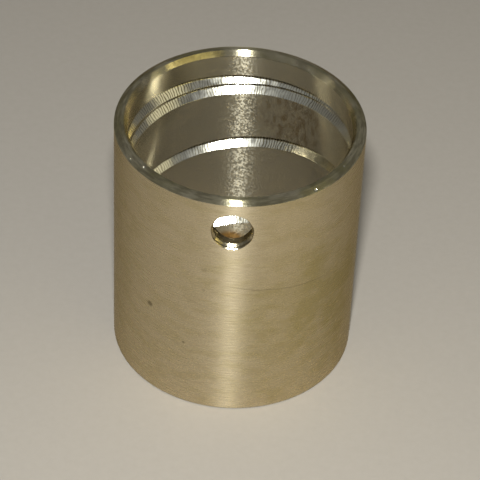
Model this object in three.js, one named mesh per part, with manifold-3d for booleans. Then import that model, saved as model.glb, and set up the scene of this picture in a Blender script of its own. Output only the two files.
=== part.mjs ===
// Bronze sleeve bushing: one thin-walled sleeve, turned from a single piece of bronze.
// The shaft runs in its bore and the wall is pressed into a housing. Grease comes in
// through one countersunk hole, goes round in a ring groove at the level of the hole and
// spreads down the bore along a spiral groove whose lead grows with every turn.
// Millimetres, +Z along the axis. The origin is the centre of the end face it stands on,
// and the oil hole looks along -Y.
import * as THREE from 'three';
import { mergeVertices } from 'three/addons/utils/BufferGeometryUtils.js';
import Module from 'manifold-3d';

// The sleeve
const OUTER_RADIUS = 30;
const BORE_RADIUS = 26.8;
const LENGTH = 67;
// At the top, a wide shallow chamfer outside. At the foot, only a broken edge
const RIM_CHAMFER_WIDTH = 1.35;
const RIM_CHAMFER_HEIGHT = 0.85;
const FOOT_CHAMFER = 0.3;
// At both ends of the bore, a steep lead-in for the shaft
const LEAD_IN_WIDTH = 0.8;
const LEAD_IN_HEIGHT = 1.4;

// The oil hole, drilled along Y through the wall, and its countersink
const OIL_LEVEL = LENGTH - 8.9;
const OIL_HOLE_RADIUS = 4.5;
const COUNTERSINK_RADIUS = 5.35;
const HOLE_OVERRUN = 1;

// Both grooves are 90 degree vees with a small round at the bottom. A groove's half width is
// measured where it meets the bore, and the spiral is a little shallower than the ring
const TIP_RADIUS = 0.3;
const RING_HALF_WIDTH = 1.78;
const SPIRAL_HALF_WIDTH = 1.72;

// The spiral leaves the ring at this angle about Z and sinks faster and faster
const SPIRAL_START = THREE.MathUtils.degToRad(-29);
const SPIRAL_TURNS = 2.55;
const FIRST_TURN_DROP = 12.8;
const DROP_POWER = 1.5;
// Over its last stretch the tool is drawn out of the wall, so the groove ends blind
const RUN_OUT_TURNS = 0.1;
const RUN_OUT_CLEARANCE = 0.3;
// How far the tool's flanks go on past the bore, towards the axis
const TOOL_SHANK = 1;

// How finely round shapes are cut into flats
const ROUND_SEGMENTS = 96;
const HOLE_SEGMENTS = 32;
const TIP_SEGMENTS = 2;
const SPIRAL_STEPS = 168;

const wasm = await Module();
wasm.setup();

function toSolid(geometry) {
  const bare = geometry.clone();
  bare.deleteAttribute('normal');
  bare.deleteAttribute('uv');
  const merged = mergeVertices(bare, 1e-5);
  return new wasm.Manifold(new wasm.Mesh({
    numProp: 3,
    vertProperties: new Float32Array(merged.attributes.position.array),
    triVerts: new Uint32Array(merged.index.array),
  }));
}

function toGeometry(solid) {
  const mesh = solid.getMesh();
  const geometry = new THREE.BufferGeometry();
  geometry.setAttribute('position', new THREE.BufferAttribute(mesh.vertProperties, 3));
  geometry.setIndex(new THREE.BufferAttribute(mesh.triVerts, 1));
  geometry.computeVertexNormals();
  return geometry;
}

// How far the centre of a vee's rounded tip lies outside the bore
function tipCentre(halfWidth) {
  return halfWidth - TIP_RADIUS * Math.SQRT2;
}

// The turned body with its chamfers and the ring groove: up the outer wall, across the
// top, down the bore and out across the bottom
function sleeveBody() {
  const outline = new THREE.Path();
  outline.moveTo(OUTER_RADIUS, FOOT_CHAMFER);
  outline.lineTo(OUTER_RADIUS, LENGTH - RIM_CHAMFER_HEIGHT);
  outline.lineTo(OUTER_RADIUS - RIM_CHAMFER_WIDTH, LENGTH);
  outline.lineTo(BORE_RADIUS + LEAD_IN_WIDTH, LENGTH);
  outline.lineTo(BORE_RADIUS, LENGTH - LEAD_IN_HEIGHT);
  outline.lineTo(BORE_RADIUS, OIL_LEVEL + RING_HALF_WIDTH);
  const tip = BORE_RADIUS + tipCentre(RING_HALF_WIDTH);
  outline.absarc(tip, OIL_LEVEL, TIP_RADIUS, Math.PI / 4, -Math.PI / 4, true);
  outline.lineTo(BORE_RADIUS, OIL_LEVEL - RING_HALF_WIDTH);
  outline.lineTo(BORE_RADIUS, LEAD_IN_HEIGHT);
  outline.lineTo(BORE_RADIUS + LEAD_IN_WIDTH, 0);
  outline.lineTo(OUTER_RADIUS - FOOT_CHAMFER, 0);
  outline.lineTo(OUTER_RADIUS, FOOT_CHAMFER);
  const body = new THREE.LatheGeometry(outline.getPoints(TIP_SEGMENTS / 2), ROUND_SEGMENTS);
  return toSolid(body.rotateX(Math.PI / 2));
}

// The line on the bore that the spiral groove follows. The tool stands straight out from
// the axis all the way, so each frame's normal is radial
class SpiralPath extends THREE.Curve {
  getPoint(t, target = new THREE.Vector3()) {
    const turns = t * SPIRAL_TURNS;
    const angle = SPIRAL_START + turns * 2 * Math.PI;
    const runOut = THREE.MathUtils.smoothstep(turns, SPIRAL_TURNS - RUN_OUT_TURNS, SPIRAL_TURNS);
    const radius = BORE_RADIUS - runOut * (SPIRAL_HALF_WIDTH + RUN_OUT_CLEARANCE);
    const level = OIL_LEVEL - FIRST_TURN_DROP * turns ** DROP_POWER;
    return target.set(radius * Math.cos(angle), radius * Math.sin(angle), level);
  }

  computeFrenetFrames(segments) {
    const tangents = [];
    const normals = [];
    const binormals = [];
    for (let i = 0; i <= segments; i++) {
      const tangent = this.getTangentAt(i / segments);
      const radial = this.getPointAt(i / segments).setZ(0);
      const normal = radial.addScaledVector(tangent, -radial.dot(tangent)).normalize();
      tangents.push(tangent);
      normals.push(normal);
      binormals.push(new THREE.Vector3().crossVectors(tangent, normal));
    }
    return { tangents, normals, binormals };
  }
}

// The vee-shaped tool, swept along the spiral. Its flanks go on inwards past the bore
function spiralCut() {
  const mouth = SPIRAL_HALF_WIDTH + TOOL_SHANK;
  const vee = new THREE.Shape();
  vee.moveTo(-TOOL_SHANK, mouth);
  vee.lineTo(-TOOL_SHANK, -mouth);
  vee.absarc(tipCentre(SPIRAL_HALF_WIDTH), 0, TIP_RADIUS, -Math.PI / 4, Math.PI / 4, false);
  vee.lineTo(-TOOL_SHANK, mouth);
  return toSolid(new THREE.ExtrudeGeometry(vee, {
    curveSegments: TIP_SEGMENTS / 2,
    steps: SPIRAL_STEPS,
    extrudePath: new SpiralPath(),
  }));
}

// The drill, from outside the wall to inside the bore
function drillCut() {
  const wall = OUTER_RADIUS - BORE_RADIUS;
  const length = wall + 2 * HOLE_OVERRUN;
  const drill = new THREE.CylinderGeometry(OIL_HOLE_RADIUS, OIL_HOLE_RADIUS, length, HOLE_SEGMENTS);
  return toSolid(drill.translate(0, -BORE_RADIUS - wall / 2, OIL_LEVEL));
}

// The 90 degree countersink, which reaches its radius at the crown of the wall and
// ends inside the drilled hole
function countersinkCut() {
  const wide = COUNTERSINK_RADIUS + HOLE_OVERRUN;
  const narrow = OIL_HOLE_RADIUS - HOLE_OVERRUN;
  const cone = new THREE.CylinderGeometry(narrow, wide, wide - narrow, HOLE_SEGMENTS);
  const outerEnd = -OUTER_RADIUS - HOLE_OVERRUN;
  return toSolid(cone.translate(0, outerEnd + (wide - narrow) / 2, OIL_LEVEL));
}

const bronze = new THREE.MeshStandardMaterial({ color: 0xb49a5c, roughness: 0.32, metalness: 1 });

const sleeve = sleeveBody()
  .subtract(spiralCut())
  .subtract(drillCut())
  .subtract(countersinkCut());

const bushingSleeve = new THREE.Mesh(toGeometry(sleeve), bronze);
bushingSleeve.name = 'bushing_sleeve';

const bushing = new THREE.Group();
bushing.name = 'bronze_sleeve_bushing';
bushing.add(bushingSleeve);

export default bushing;
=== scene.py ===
"""The bronze sleeve bushing, standing on a pale floor.

One visual piece, turned_sleeve, replaces the faceted CAD node. It has the same sizes, with the ring
groove, the spiral groove and the countersunk oil hole cut into a fine mesh, and a finish of its own on
each surface: turned wall, faced ends, honed bore, grooves and drilled hole.
"""

import math

import bpy
import numpy as np
from mathutils import Matrix, Vector


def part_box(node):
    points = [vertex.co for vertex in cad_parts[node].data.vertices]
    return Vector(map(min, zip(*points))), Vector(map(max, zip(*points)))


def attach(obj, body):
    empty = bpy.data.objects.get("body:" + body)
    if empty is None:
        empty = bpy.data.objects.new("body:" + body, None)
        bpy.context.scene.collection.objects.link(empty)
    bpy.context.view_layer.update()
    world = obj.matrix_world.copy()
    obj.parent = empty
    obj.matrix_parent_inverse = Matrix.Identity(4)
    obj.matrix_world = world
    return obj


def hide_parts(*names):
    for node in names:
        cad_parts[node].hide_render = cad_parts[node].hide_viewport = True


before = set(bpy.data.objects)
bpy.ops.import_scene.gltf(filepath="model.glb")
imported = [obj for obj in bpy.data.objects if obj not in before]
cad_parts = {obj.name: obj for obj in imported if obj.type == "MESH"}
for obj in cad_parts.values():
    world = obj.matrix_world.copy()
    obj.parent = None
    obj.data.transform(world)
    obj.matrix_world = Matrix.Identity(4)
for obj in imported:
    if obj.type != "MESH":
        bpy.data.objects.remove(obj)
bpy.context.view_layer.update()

NODE = "bushing_sleeve"
low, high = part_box(NODE)

# ---------------------------------------------------------------- sizes, in metres, as in the CAD model
MM = 0.001
OUTER_RADIUS = (high[0] - low[0]) / 2
LENGTH = high[2] - low[2]
BORE_RADIUS = 26.8 * MM
RIM_CHAMFER_WIDTH = 1.35 * MM
RIM_CHAMFER_HEIGHT = 0.85 * MM
FOOT_CHAMFER = 0.3 * MM
LEAD_IN_WIDTH = 0.8 * MM
LEAD_IN_HEIGHT = 1.4 * MM
EDGE_ROUND = 0.06 * MM

OIL_LEVEL = LENGTH - 8.9 * MM
OIL_HOLE_RADIUS = 4.5 * MM
COUNTERSINK_RADIUS = 5.35 * MM

# Both grooves are 90 degree vees. A half width is measured where the groove meets the bore
TIP_RADIUS = 0.3 * MM
RING_HALF_WIDTH = 1.78 * MM
SPIRAL_HALF_WIDTH = 1.72 * MM
SPIRAL_START = math.radians(-29)
SPIRAL_TURNS = 2.55
FIRST_TURN_DROP = 12.8 * MM
DROP_POWER = 1.5
RUN_OUT_TURNS = 0.1
RUN_OUT_CLEARANCE = 0.3 * MM

# ---------------------------------------------------------------- how finely the sleeve is meshed
COLUMNS = 432
WALL_ROWS = 18
BORE_ROWS = 170
GROOVE_DENSITY = 2.2
SAMPLE_STEP = 0.02 * MM
DENSITY_BLEND = 0.5 * MM
SHARP_ANGLE = math.radians(32)


def vee_cut(offset, half_width):
    """How deep a vee cuts below the bore at this distance from its path. Above the bore it is negative."""
    offset = np.abs(offset)
    in_tip = offset < TIP_RADIUS / math.sqrt(2)
    rounded_off = np.sqrt(np.where(in_tip, TIP_RADIUS**2 - offset**2, 0)) - TIP_RADIUS * math.sqrt(2)
    return half_width + np.where(in_tip, rounded_off, -offset)


def spiral_cut(angle, z, turn):
    """The depth that one turn of the spiral cuts at these points of the bore."""
    turns = turn + ((angle - SPIRAL_START) / (2 * math.pi)) % 1.0
    if turns > SPIRAL_TURNS:
        return np.full_like(z, -LENGTH)
    run = min(max((turns - SPIRAL_TURNS + RUN_OUT_TURNS) / RUN_OUT_TURNS, 0.0), 1.0)
    lift = run * run * (3 - 2 * run) * (SPIRAL_HALF_WIDTH + RUN_OUT_CLEARANCE)
    level = OIL_LEVEL - FIRST_TURN_DROP * turns**DROP_POWER
    fall = FIRST_TURN_DROP * DROP_POWER * turns ** (DROP_POWER - 1) / (2 * math.pi * BORE_RADIUS)
    return vee_cut((z - level) * math.cos(math.atan(fall)), SPIRAL_HALF_WIDTH) - lift


def bore_cuts(angle, z):
    """One row of depths for the plain bore, the ring groove and each turn of the spiral."""
    cuts = [np.zeros_like(z), vee_cut(z - OIL_LEVEL, RING_HALF_WIDTH)]
    cuts += [spiral_cut(angle, z, turn) for turn in range(math.ceil(SPIRAL_TURNS))]
    return np.array(cuts)


def bore_column(angle):
    """Heights and radii down the bore at one angle, closer together in the grooves, with a point on every
    lip, and a mark for each point that lies on a lip."""
    # These rows lie between the rounded corners of the bore's two lead-ins
    end = LEAD_IN_HEIGHT + 1.5 * EDGE_ROUND
    z = np.arange(LENGTH - end, end, -SAMPLE_STEP)
    cuts = bore_cuts(angle, z)
    deepest = cuts.argmax(axis=0)
    weight = 1 + GROOVE_DENSITY * (deepest > 0)
    # The density rises and falls over twice DENSITY_BLEND, so that the rows drift smoothly
    width = int(DENSITY_BLEND / SAMPLE_STEP)
    weight = np.convolve(np.pad(weight, width, mode="edge"), np.ones(2 * width + 1), mode="valid")
    along = np.concatenate([[0], np.cumsum(weight[:-1])])
    rows = np.interp(np.linspace(0, along[-1], BORE_ROWS), along, z)
    on_lip = np.zeros(BORE_ROWS, bool)
    for k in np.nonzero(np.diff(deepest))[0]:
        lip = (z[k] + z[k + 1]) / 2
        nearest = int(np.abs(rows - lip).argmin())
        if 0 < nearest < BORE_ROWS - 1 and not on_lip[nearest]:
            rows[nearest] = lip
            on_lip[nearest] = True
    radii = BORE_RADIUS + bore_cuts(angle, rows).max(axis=0)
    return radii, rows, on_lip


def unit(vector):
    return vector / np.linalg.norm(vector)


def outline_corners():
    """The turned outline's corners, from the foot of the bore round the outside to the top of the bore."""
    return np.array([
        (BORE_RADIUS, LEAD_IN_HEIGHT),
        (BORE_RADIUS + LEAD_IN_WIDTH, 0),
        (OUTER_RADIUS - FOOT_CHAMFER, 0),
        (OUTER_RADIUS, FOOT_CHAMFER),
        (OUTER_RADIUS, LENGTH - RIM_CHAMFER_HEIGHT),
        (OUTER_RADIUS - RIM_CHAMFER_WIDTH, LENGTH),
        (BORE_RADIUS + LEAD_IN_WIDTH, LENGTH),
        (BORE_RADIUS, LENGTH - LEAD_IN_HEIGHT),
    ])


def fixed_outline():
    """The points of the turned outline and its outward normals. Each corner is rounded by three points."""
    corners = outline_corners()
    rows_between = [3, 2, 0, WALL_ROWS, 3, 2, 3, 0]
    inside = np.array([(BORE_RADIUS, LENGTH / 2)])
    around = np.concatenate([inside, corners, inside])
    along = np.array([unit(b - a) for a, b in zip(around, around[1:])])
    facing = np.stack([along[:, 1], -along[:, 0]], axis=1)
    points, normals = [], []
    for k, corner in enumerate(corners):
        start, end = corner - along[k] * EDGE_ROUND, corner + along[k + 1] * EDGE_ROUND
        points += [start, (start + 2 * corner + end) / 4, end]
        normals += [facing[k], unit(facing[k] + facing[k + 1]), facing[k + 1]]
        for step in range(1, rows_between[k] + 1):
            points.append(corner + (corners[k + 1] - corner) * step / (rows_between[k] + 1))
            normals.append(facing[k + 1])
    return np.array(points), np.array(normals)


def sleeve_mesh():
    """The sleeve as one closed grid of columns round the axis, without the oil hole."""
    fixed = fixed_outline()[0]
    rows = len(fixed) + BORE_ROWS
    verts = np.zeros((COLUMNS, rows, 3))
    lips = np.zeros((COLUMNS, rows), bool)
    for i in range(COLUMNS):
        angle = 2 * math.pi * i / COLUMNS
        radii, heights, on_lip = bore_column(angle)
        r = np.concatenate([fixed[:, 0], radii])
        z = np.concatenate([fixed[:, 1], heights])
        verts[i] = np.stack([r * math.cos(angle), r * math.sin(angle), z], axis=1)
        lips[i, len(fixed):] = on_lip
    return verts, lips


def grid_faces(lips):
    """Quads of the closed grid, split into triangles along a lip that crosses one from corner to corner."""
    columns, rows = lips.shape
    faces = []
    for i in range(columns):
        n = (i + 1) % columns
        for j in range(rows):
            m = (j + 1) % rows
            a, b, c, d = i * rows + j, n * rows + j, n * rows + m, i * rows + m
            la, lb, lc, ld = lips[i, j], lips[n, j], lips[n, m], lips[i, m]
            if la and lc and not lb and not ld:
                faces += [(a, b, c), (a, c, d)]
            elif lb and ld and not la and not lc:
                faces += [(a, b, d), (b, c, d)]
            else:
                faces.append((a, b, c, d))
    return faces


def new_object(name, verts, faces):
    mesh = bpy.data.meshes.new(name)
    mesh.from_pydata(verts, [], faces)
    mesh.validate()
    mesh.update()
    obj = bpy.data.objects.new(name, mesh)
    bpy.context.scene.collection.objects.link(obj)
    return obj


# ---------------------------------------------------------------- the oil hole
HOLE_SEGMENTS = 128
DRILL_RING_PITCH = 0.8 * MM
DRILL_RING_HEIGHT = 0.08 * MM
CHATTER_LOBES = 9
CHATTER_HEIGHT = 0.05 * MM


def drill_profile():
    """(radius, distance in from the crown of the wall), from outside the wall to inside the bore."""
    depth = COUNTERSINK_RADIUS - OIL_HOLE_RADIUS
    start = 1.4 * depth
    wall = OUTER_RADIUS - BORE_RADIUS
    points = [(COUNTERSINK_RADIUS + 1 * MM, -1 * MM), (COUNTERSINK_RADIUS, 0)]
    # The countersink has a step half way down, where the cutter chattered
    points.append((COUNTERSINK_RADIUS - 0.38 * depth, 0.35 * depth))
    points.append((COUNTERSINK_RADIUS - 0.44 * depth, 0.85 * depth))
    # Past the countersink the hole is straight, with the drill's rings in it
    points += [(OIL_HOLE_RADIUS + 0.15 * MM, 1.2 * depth), (OIL_HOLE_RADIUS, start)]
    steps = int((wall + 1.5 * MM - start) / (DRILL_RING_PITCH / 4))
    for k in range(1, steps + 1):
        ring = DRILL_RING_HEIGHT * math.sin(k * math.pi / 2)
        points.append((OIL_HOLE_RADIUS + ring, start + k * DRILL_RING_PITCH / 4))
    return points


def drill_cutter():
    profile = drill_profile()
    verts, faces = [], []
    for k in range(HOLE_SEGMENTS):
        a = 2 * math.pi * k / HOLE_SEGMENTS
        for radius, inward in profile:
            lobes = CHATTER_HEIGHT * math.sin(CHATTER_LOBES * a) * (radius > OIL_HOLE_RADIUS + 0.2 * MM)
            r = radius + lobes
            verts.append((r * math.cos(a), -OUTER_RADIUS + inward, OIL_LEVEL + r * math.sin(a)))
    n = len(profile)
    for k in range(HOLE_SEGMENTS):
        m = (k + 1) % HOLE_SEGMENTS
        faces += [(k * n + j, k * n + j + 1, m * n + j + 1, m * n + j) for j in range(n - 1)]
    faces.append([k * n for k in range(HOLE_SEGMENTS)])
    faces.append([k * n + n - 1 for k in reversed(range(HOLE_SEGMENTS))])
    return new_object("drill", verts, faces)


def drill_oil_hole(sleeve):
    cutter = drill_cutter()
    modifier = sleeve.modifiers.new("oil_hole", "BOOLEAN")
    modifier.operation = "DIFFERENCE"
    modifier.solver = "MANIFOLD"
    modifier.object = cutter
    bpy.context.view_layer.update()
    depsgraph = bpy.context.evaluated_depsgraph_get()
    drilled = bpy.data.meshes.new_from_object(sleeve.evaluated_get(depsgraph))
    sleeve.modifiers.clear()
    sleeve.data = drilled
    bpy.data.objects.remove(cutter)


# ---------------------------------------------------------------- the surfaces of the sleeve
WALL, ENDS, BORE, GROOVE, HOLE = range(5)


def mark_surfaces(mesh):
    """Gives each face the number of its surface, smooths the faces and marks the sharp edges."""
    count = len(mesh.polygons)
    centre, normal = np.empty(count * 3), np.empty(count * 3)
    mesh.polygons.foreach_get("center", centre)
    mesh.polygons.foreach_get("normal", normal)
    centre, normal = centre.reshape(-1, 3), normal.reshape(-1, 3)
    r = np.hypot(centre[:, 0], centre[:, 1])
    radial = (normal[:, :2] * centre[:, :2]).sum(axis=1) / r
    from_hole = np.hypot(centre[:, 0], centre[:, 2] - OIL_LEVEL)
    flat = 0.9995
    chord = 0.02 * MM
    lean = 0.25
    surface = np.full(count, ENDS)
    surface[(radial > flat) & (r > OUTER_RADIUS - chord)] = WALL
    between_lead_ins = np.abs(centre[:, 2] - LENGTH / 2) < LENGTH / 2 - LEAD_IN_HEIGHT
    inner = (r < BORE_RADIUS + RING_HALF_WIDTH) & between_lead_ins
    surface[inner] = GROOVE
    surface[inner & (radial < -flat) & (np.abs(r - BORE_RADIUS) < chord)] = BORE
    reach = COUNTERSINK_RADIUS + CHATTER_HEIGHT + chord
    in_hole = (from_hole < reach) & (centre[:, 1] < 0) & (np.abs(radial) < flat)
    towards_hole = normal[:, 0] * centre[:, 0] + normal[:, 2] * (centre[:, 2] - OIL_LEVEL)
    surface[in_hole & (towards_hole < -lean * from_hole)] = HOLE
    mesh.polygons.foreach_set("material_index", surface.astype(np.int32))
    mesh.polygons.foreach_set("use_smooth", np.ones(count, bool))
    mesh.set_sharp_from_angle(angle=SHARP_ANGLE)
    return surface


def set_true_normals(mesh, surface):
    """Gives the wall, the ends and the bore the exact normals of the turned shape."""
    loops = len(mesh.loops)
    normals = np.empty(loops * 3, np.float32)
    mesh.corner_normals.foreach_get("vector", normals)
    normals = normals.reshape(-1, 3)
    corner_vertex = np.empty(loops, np.int32)
    mesh.loops.foreach_get("vertex_index", corner_vertex)
    place = np.empty(len(mesh.vertices) * 3)
    mesh.vertices.foreach_get("co", place)
    place = place.reshape(-1, 3)[corner_vertex]
    totals = np.empty(len(mesh.polygons), np.int32)
    mesh.polygons.foreach_get("loop_total", totals)
    on = np.repeat(surface, totals)
    r = np.hypot(place[:, 0], place[:, 1])
    outward = place * (1, 1, 0) / r[:, None]
    normals[on == WALL] = outward[on == WALL]
    normals[on == BORE] = -outward[on == BORE]
    points, facing = fixed_outline()
    ends = on == ENDS
    nearest = np.hypot(r[ends, None] - points[:, 0], place[ends, 2, None] - points[:, 1]).argmin(axis=1)
    normals[ends] = outward[ends] * facing[nearest, :1] + (0, 0, 1) * facing[nearest, 1:]
    mesh.normals_split_custom_set(normals.tolist())


# ---------------------------------------------------------------- materials
class Tree:
    """A material's node tree, with one short call for each kind of node. Places are in millimetres."""

    def __init__(self, name):
        self.material = bpy.data.materials.new(name)
        self.material.use_nodes = True
        self.nodes = self.material.node_tree.nodes
        self.links = self.material.node_tree.links
        self.shader = self.nodes["Principled BSDF"]
        scaled = self.nodes.new("ShaderNodeVectorMath")
        scaled.operation = "SCALE"
        scaled.inputs["Scale"].default_value = 1 / MM
        self.links.new(self.nodes.new("ShaderNodeTexCoord").outputs["Object"], scaled.inputs[0])
        self.place = scaled.outputs[0]
        split = self.nodes.new("ShaderNodeSeparateXYZ")
        self.links.new(self.place, split.inputs[0])
        self.x, self.y, self.z = split.outputs
        self.radius = self.math("SQRT", self.plus(self.times(self.x, self.x), self.times(self.y, self.y)))

    def put(self, socket, value):
        """Links a socket to another, or sets its own value."""
        if isinstance(value, bpy.types.NodeSocket):
            self.links.new(value, socket)
        else:
            socket.default_value = value

    def math(self, operation, a, b=0.0):
        node = self.nodes.new("ShaderNodeMath")
        node.operation = operation
        self.put(node.inputs[0], a)
        self.put(node.inputs[1], b)
        return node.outputs[0]

    def times(self, *values):
        product = values[0]
        for value in values[1:]:
            product = self.math("MULTIPLY", product, value)
        return product

    def plus(self, *values):
        total = values[0]
        for value in values[1:]:
            total = self.math("ADD", total, value)
        return total

    def vector(self, x, y, z):
        node = self.nodes.new("ShaderNodeCombineXYZ")
        for socket, value in zip(node.inputs, (x, y, z)):
            self.put(socket, value)
        return node.outputs[0]

    def noise(self, vector, scale=1.0, detail=2.0, roughness=0.5):
        node = self.nodes.new("ShaderNodeTexNoise")
        self.put(node.inputs["Vector"], vector)
        self.put(node.inputs["Scale"], scale)
        self.put(node.inputs["Detail"], detail)
        self.put(node.inputs["Roughness"], roughness)
        return node.outputs["Fac"]

    def ramp(self, value, low, high, to_low=0.0, to_high=1.0):
        """Smoothly maps low..high to to_low..to_high."""
        node = self.nodes.new("ShaderNodeMapRange")
        node.interpolation_type = "SMOOTHSTEP"
        self.put(node.inputs[0], value)
        for socket, number in zip(node.inputs[1:5], (low, high, to_low, to_high)):
            socket.default_value = number
        return node.outputs[0]

    def mix(self, factor, a, b):
        node = self.nodes.new("ShaderNodeMix")
        node.data_type = "RGBA"
        self.put(node.inputs["Factor"], factor)
        self.put(node.inputs[6], a)
        self.put(node.inputs[7], b)
        return node.outputs[2]

    def bump(self, height, distance, edge=0.0):
        """height runs from 0 to 1, and 1 stands distance proud. edge rounds the edges. Both in metres."""
        node = self.nodes.new("ShaderNodeBump")
        if edge:
            bevel = self.nodes.new("ShaderNodeBevel")
            bevel.samples = 6
            bevel.inputs["Radius"].default_value = edge
            self.put(node.inputs["Normal"], bevel.outputs[0])
        node.inputs["Strength"].default_value = 1.0
        node.inputs["Distance"].default_value = distance
        self.put(node.inputs["Height"], height)
        self.put(self.shader.inputs["Normal"], node.outputs[0])

    def turned(self, anisotropy):
        """Stretches the highlight across the turning lines, which run round the axis."""
        tangent = self.nodes.new("ShaderNodeTangent")
        tangent.direction_type, tangent.axis = "RADIAL", "Z"
        self.put(self.shader.inputs["Tangent"], tangent.outputs[0])
        self.put(self.shader.inputs["Anisotropic"], anisotropy)
        self.shader.inputs["Anisotropic Rotation"].default_value = 0.25

    def lines_round(self, across, per_mm, along=0.03, detail=2.0):
        """Noise drawn out into lines round the axis. across is z on a wall and the radius on an end."""
        x = self.times(self.math("DIVIDE", self.x, self.radius), OUTER_RADIUS / MM * along)
        y = self.times(self.math("DIVIDE", self.y, self.radius), OUTER_RADIUS / MM * along)
        return self.noise(self.vector(x, y, self.times(across, per_mm)), 1.0, detail)

    def chatter_and_painted_light(self, lines):
        """A wave with this many crests round the axis, a little uneven, like a cutting tool's marks."""
        angle = self.math("ARCTAN2", self.y, self.x)
        uneven = self.times(self.noise(self.vector(self.x, self.y, self.times(self.z, 0.04)), 0.5), 12)
        wave = self.math("SINE", self.plus(self.times(angle, lines), uneven))
        return self.plus(self.times(wave, 0.5), 0.5)

    def spot(self, centre, radius, softness=0.5):
        """1 near a point, fading to 0 at the radius. softness is the share of the radius that fades."""
        node = self.nodes.new("ShaderNodeVectorMath")
        node.operation = "DISTANCE"
        self.put(node.inputs[0], self.place)
        node.inputs[1].default_value = centre
        return self.ramp(node.outputs["Value"], radius * (1 - softness), radius, 1.0, 0.0)


def round_axis(radius, degrees, z):
    """A point at this radius and angle, all in millimetres. 270 degrees is the side with the oil hole."""
    angle = math.radians(degrees)
    return (radius * math.cos(angle), radius * math.sin(angle), z)


R, BORE_R, TOP = OUTER_RADIUS / MM, BORE_RADIUS / MM, LENGTH / MM

BRONZE = (0.59, 0.495, 0.325, 1)
OLIVE = (0.47, 0.39, 0.20, 1)
BORE_BRONZE = (0.68, 0.61, 0.44, 1)
PALE = (0.74, 0.71, 0.60, 1)
DARK = (0.30, 0.26, 0.16, 1)
GREEN = (0.38, 0.34, 0.17, 1)
STAIN = (0.36, 0.24, 0.11, 1)
ORANGE = (0.50, 0.27, 0.06, 1)
BLACK = (0.10, 0.08, 0.05, 1)
EDGE_TINT = (0.62, 0.55, 0.42, 1)
PAPER_DARK = (0.25, 0.222, 0.184, 1)
PAPER_LIGHT = (0.28, 0.25, 0.21, 1)


def bronze_tree(name, metallic=1.0):
    tree = Tree(name)
    tree.shader.inputs["Metallic"].default_value = metallic
    tree.shader.inputs["Specular Tint"].default_value = EDGE_TINT
    return tree


def wall_scratch(tree, start, end):
    """A fine scratch on the front of the wall between two (degrees, z) places."""
    (x0, _, z0), (x1, _, z1) = (round_axis(R, *place) for place in (start, end))
    slope = (z1 - z0) / (x1 - x0)
    level = tree.plus(tree.times(tree.x, slope), z0 - x0 * slope)
    wander = tree.noise(tree.vector(tree.times(tree.x, 0.25), 0, 0), 1.0, 3.0)
    off = tree.math("ABSOLUTE", tree.plus(tree.z, tree.times(level, -1), wander, -0.5))
    reach = tree.math("ABSOLUTE", tree.plus(tree.x, -(x0 + x1) / 2))
    half = abs(x1 - x0) / 2
    front = tree.ramp(tree.y, -2.0, 0.0, 1.0, 0.0)
    ends = tree.ramp(reach, half * 0.7, half, 1.0, 0.0)
    return tree.times(tree.ramp(off, 0.05, 0.25, 1.0, 0.0), ends, front)


def wall_material():
    tree = bronze_tree("turned_wall", 0.96)
    fine = tree.lines_round(tree.z, 2.4, 0.2)
    rubbed = tree.lines_round(tree.z, 0.35, 0.14, 4.0)
    bands = tree.lines_round(tree.z, 1.4, 0.05, 3.0)
    cloud = tree.noise(tree.place, 0.10, 4.0, 0.6)
    # Olive patches, gathered round 318 degrees on the right of the wall and broken up by the cloud noise
    olive_patches_on_right = tree.times(tree.spot(round_axis(R, 318, 0.42 * TOP), 32, 0.9), tree.ramp(cloud, 0.25, 0.6))
    olive = tree.plus(
        olive_patches_on_right,
        tree.ramp(cloud, 0.5, 0.75, 0.0, 0.35),
        tree.ramp(rubbed, 0.45, 0.65, 0.0, 0.3),
    )
    spots = tree.plus(
        tree.times(tree.spot(round_axis(R, 230, 27.5), 1.0), 0.6),
        tree.times(tree.spot(round_axis(R, 258, 45.2), 0.8), 0.15),
        tree.times(tree.spot(round_axis(R, 258, 38.8), 0.6), 0.2),
        tree.times(tree.spot(round_axis(R, 249, 20.0), 0.45), 0.5),
        tree.times(wall_scratch(tree, (323, 37.4), (266, 41.2)), 0.3),
        tree.times(wall_scratch(tree, (262, 33.0), (247, 35.5)), 0.2),
    )
    tree.put(tree.shader.inputs["Base Color"], tree.mix(spots, tree.mix(olive, BRONZE, OLIVE), BLACK))
    tree.put(tree.shader.inputs["Roughness"], tree.ramp(fine, 0.3, 0.7, 0.235, 0.29))
    tree.turned(tree.ramp(fine, 0.3, 0.7, 1.0, 0.9))
    tree.bump(tree.plus(bands, tree.times(spots, -0.7)), 0.006 * MM)
    return tree.material


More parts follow.
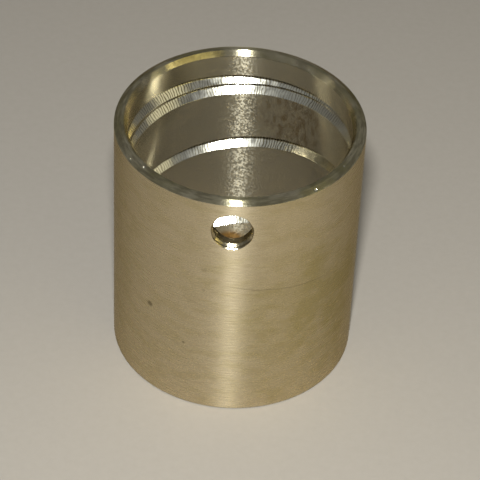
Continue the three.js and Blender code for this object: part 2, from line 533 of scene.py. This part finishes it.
def end_material():
    tree = bronze_tree("faced_end", 0.97)
    lines = tree.lines_round(tree.plus(tree.radius, tree.times(tree.z, -0.7)), 5.0)
    patches = tree.noise(tree.place, 0.16, 3.0, 0.6)
    mottle = tree.lines_round(tree.plus(tree.radius, tree.times(tree.z, -0.7)), 1.5, 0.3, 3.0)
    grain = tree.noise(tree.place, 1.7, 3.0, 0.65)
    # Nicks on the faced ends: each is bumped in as a small dent, and its pale colour is a painted glint
    nick_and_glint_places = (
        (28.65, 222, 0.05, 0.32), (29.5, 213, 0.5, 0.25), (29.5, 309, 0.5, 0.45), (28.7, 330, 0.1, 0.3),
        (27.3, 58, 0.6, 0.25), (27.2, 55, 0.8, 0.3), (27.0, 52, 1.0, 0.25), (27.1, 62, 0.9, 0.2),
    )
    nicks_and_painted_glints = tree.plus(*(
        tree.spot(round_axis(radius, degrees, TOP - drop), size, 0.4)
        for radius, degrees, drop, size in nick_and_glint_places
    ))
    olive = tree.ramp(tree.plus(tree.times(lines, 0.5), patches), 0.5, 1.0)
    darkened = tree.mix(tree.ramp(mottle, 0.42, 0.62, 0.0, 0.7), tree.mix(olive, BORE_BRONZE, GREEN), DARK)
    tree.put(tree.shader.inputs["Base Color"], tree.mix(nicks_and_painted_glints, darkened, PALE))
    tree.put(tree.shader.inputs["Roughness"], tree.ramp(mottle, 0.4, 0.6, 0.16, 0.21))
    tree.turned(0.98)
    tree.bump(tree.plus(tree.times(lines, 0.4), tree.times(grain, 0.6), tree.times(nicks_and_painted_glints, -3)), 0.022 * MM)
    return tree.material


def bore_material():
    tree = bronze_tree("honed_bore", 0.93)
    grain = tree.noise(tree.place, 2.0, 1.0, 0.6)
    blotches = tree.noise(tree.vector(tree.x, tree.y, tree.times(tree.z, 0.5)), 0.8, 4.0, 0.65)
    place = tree.spot(round_axis(BORE_R, 62, 0.72 * TOP), 13, 0.6)
    stain = tree.times(tree.ramp(blotches, 0.4, 0.65), place, 0.7)
    # An orange patch low on the far side of the bore, round 95 degrees, broken up by the blotches
    orange_patch = tree.times(tree.spot(round_axis(BORE_R, 95, 3.8), 5.2, 0.4), tree.ramp(blotches, 0.2, 0.4), 0.9)
    # Painted shade: the colour is darkened round 145 degrees high in the bore, to dim the key light's
    # reflection there
    darkened = tree.times(tree.spot(round_axis(BORE_R, 145, 60), 15, 0.5), 0.6)
    colour = tree.mix(orange_patch, tree.mix(stain, tree.mix(darkened, BORE_BRONZE, DARK), STAIN), ORANGE)
    tree.put(tree.shader.inputs["Base Color"], colour)
    tree.put(tree.shader.inputs["Roughness"], tree.ramp(grain, 0.4, 0.62, 0.155, 0.25))
    tree.turned(1.0)
    tree.bump(grain, 0.02 * MM)
    return tree.material


def groove_material():
    tree = bronze_tree("oil_groove")
    coarse = tree.noise(tree.place, 0.5, 2.0, 0.5)
    faint = tree.ramp(tree.noise(tree.place, 0.13, 1.0), 0.4, 0.6, 0.65, 0.0)
    marks = tree.ramp(tree.chatter_and_painted_light(240), 0.0, 0.6)
    chatter_and_painted_light = tree.plus(faint, tree.times(marks, tree.plus(1, tree.times(faint, -1))))
    # The chatter marks are bumped in below as real tool marks; their light and dark lines, and the pale
    # patches where they fade, are painted highlight and shade in the colour
    tree.put(tree.shader.inputs["Base Color"], tree.mix(chatter_and_painted_light, DARK, PALE))
    tree.put(tree.shader.inputs["Roughness"], tree.ramp(coarse, 0.3, 0.7, 0.15, 0.21))
    tree.bump(tree.plus(tree.times(chatter_and_painted_light, 0.15), coarse), 0.03 * MM, 0.25 * MM)
    return tree.material


def hole_material():
    tree = bronze_tree("drilled_hole")
    marks = tree.noise(tree.vector(tree.x, tree.times(tree.y, 3.0), tree.z), 1.4, 3.0, 0.6)
    tree.put(tree.shader.inputs["Base Color"], tree.mix(marks, BRONZE, DARK))
    tree.put(tree.shader.inputs["Roughness"], tree.ramp(marks, 0.3, 0.7, 0.14, 0.26))
    tree.bump(marks, 0.06 * MM)
    return tree.material


def floor_material():
    tree = Tree("floor_paper")
    tree.shader.inputs["Roughness"].default_value = 0.95
    tree.shader.inputs["Specular IOR Level"].default_value = 0.2
    fibres = tree.noise(tree.place, 0.5, 6.0, 0.65)
    tree.put(tree.shader.inputs["Base Color"], tree.mix(fibres, PAPER_DARK, PAPER_LIGHT))
    tree.bump(fibres, 0.05 * MM)
    return tree.material


# ---------------------------------------------------------------- camera and light
CAMERA_DISTANCE = 19.74 * OUTER_RADIUS
CAMERA_AZIMUTH = math.radians(1.3)
CAMERA_ELEVATION = math.radians(41.92)
CAMERA_ROLL = math.radians(2.63)
CAMERA_LENS = 179.4
AIM = Vector((0.039 * OUTER_RADIUS, 0, 0.9687 * OUTER_RADIUS))


def towards(azimuth, elevation, distance):
    """The point at this distance from the aim. Azimuth 0 is in front, on -Y, and grows towards +X."""
    flat = math.cos(elevation)
    across, along = math.sin(azimuth) * flat, -math.cos(azimuth) * flat
    return AIM + distance * Vector((across, along, math.sin(elevation)))


def add_camera():
    camera = bpy.data.objects.new("camera", bpy.data.cameras.new("camera"))
    bpy.context.scene.collection.objects.link(camera)
    camera.data.lens = CAMERA_LENS
    camera.location = towards(CAMERA_AZIMUTH, CAMERA_ELEVATION, CAMERA_DISTANCE)
    looking = (AIM - camera.location).to_track_quat("-Z", "Y").to_matrix().to_4x4()
    turned = Matrix.Translation(camera.location) @ looking @ Matrix.Rotation(CAMERA_ROLL, 4, "Z")
    camera.matrix_world = turned
    camera.data.clip_start, camera.data.clip_end = 0.01, 20
    bpy.context.scene.camera = camera


def add_light(name, azimuth, elevation, distance, width, height, power, colour):
    light = bpy.data.objects.new(name, bpy.data.lights.new(name, "AREA"))
    bpy.context.scene.collection.objects.link(light)
    light.data.shape = "ELLIPSE"
    light.data.size, light.data.size_y = width, height
    light.data.energy, light.data.color = power, colour
    light.location = towards(math.radians(azimuth), math.radians(elevation), distance)
    light.rotation_euler = (AIM - light.location).to_track_quat("-Z", "Y").to_euler()


def add_world(colour, strength):
    world = bpy.data.worlds.new("studio")
    world.use_nodes = True
    background = world.node_tree.nodes["Background"]
    background.inputs["Color"].default_value = colour
    background.inputs["Strength"].default_value = strength
    bpy.context.scene.world = world


def add_floor():
    half = 3.0
    corners = [(-half, -half, 0), (half, -half, 0), (half, half, 0), (-half, half, 0)]
    floor = new_object("floor", corners, [(0, 1, 2, 3)])
    floor.data.materials.append(floor_material())


def add_sleeve():
    verts, lips = sleeve_mesh()
    sleeve = new_object("turned_sleeve", verts.reshape(-1, 3).tolist(), grid_faces(lips))
    drill_oil_hole(sleeve)
    sleeve.data.materials.clear()
    for make in (wall_material, end_material, bore_material, groove_material, hole_material):
        sleeve.data.materials.append(make())
    surface = mark_surfaces(sleeve.data)
    set_true_normals(sleeve.data, surface)
    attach(sleeve, "root")
    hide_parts(NODE)


add_camera()
add_light("key", 0.1, 48.5, 0.62, 0.05, 0.035, 7.8, (0.93, 0.97, 1.0))
add_light("left", -60, 44, 1.4, 0.8, 0.8, 0.1, (0.82, 0.92, 1.0))
add_light("right", 78, 36, 1.2, 0.6, 0.6, 0.5, (1.0, 0.93, 0.62))
add_light("low", 48, 13, 1.2, 1.3, 0.3, 1.9, (1.0, 0.87, 0.35))
add_world((0.90, 0.90, 0.88, 1), 0.15)
add_floor()
add_sleeve()
bpy.context.scene.view_settings.view_transform = "Standard"
